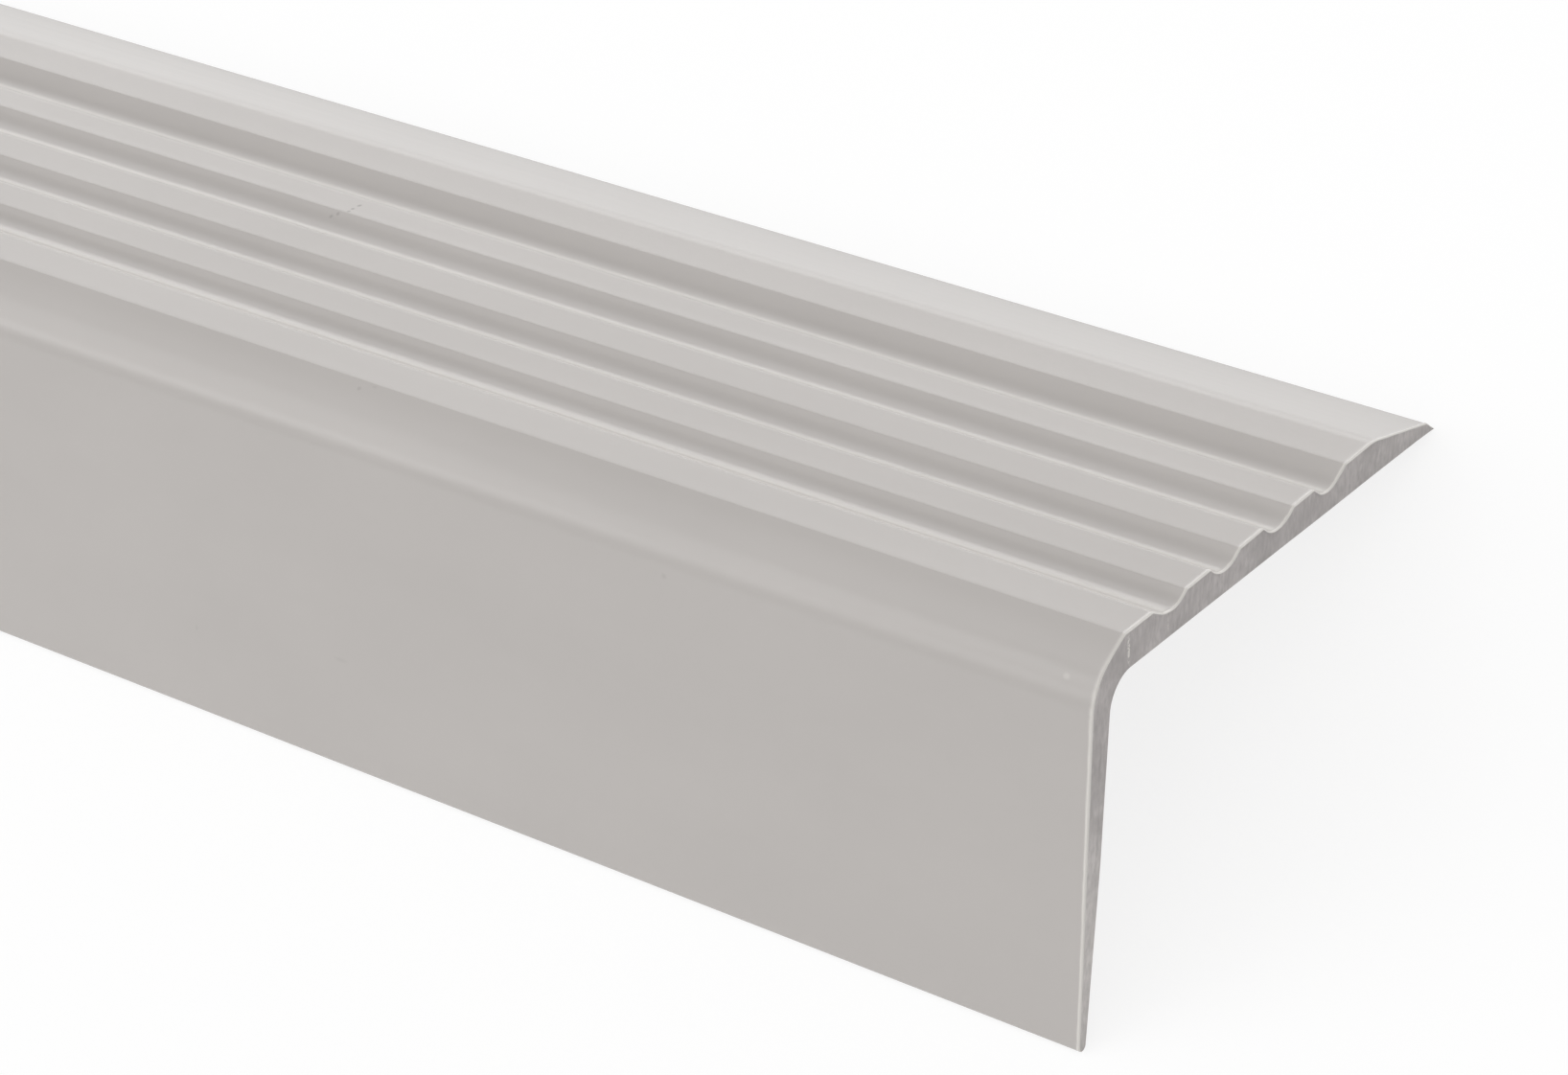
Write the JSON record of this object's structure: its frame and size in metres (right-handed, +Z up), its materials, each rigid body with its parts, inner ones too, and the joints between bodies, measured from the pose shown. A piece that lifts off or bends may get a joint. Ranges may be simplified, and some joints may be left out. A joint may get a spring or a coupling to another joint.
{
  "type": "stair nosing",
  "caption": "Rigid PVC stair nosing: an L-shaped extruded strip with a rounded nose, anti-slip grooves along its tread leg and a thin tapered riser leg.",
  "frame": {"origin": "on the floor, under the middle of the strip's box", "axes": "+X along the strip, towards the cut end that the picture shows; +Y towards the back edge of the tread leg, so the riser leg is at -Y; +Z up, with the strip lying corner up on the tip of its riser leg and the back edge of its tread leg"},
  "size_m": [0.9, 0.0568, 0.0266],
  "materials": {
    "pvc": "smooth satin, as extruded, light warm grey, with sawn ends"
  },
  "bodies": {
    "root": {"stair_nosing": "pvc"}
  },
  "joints": []
}
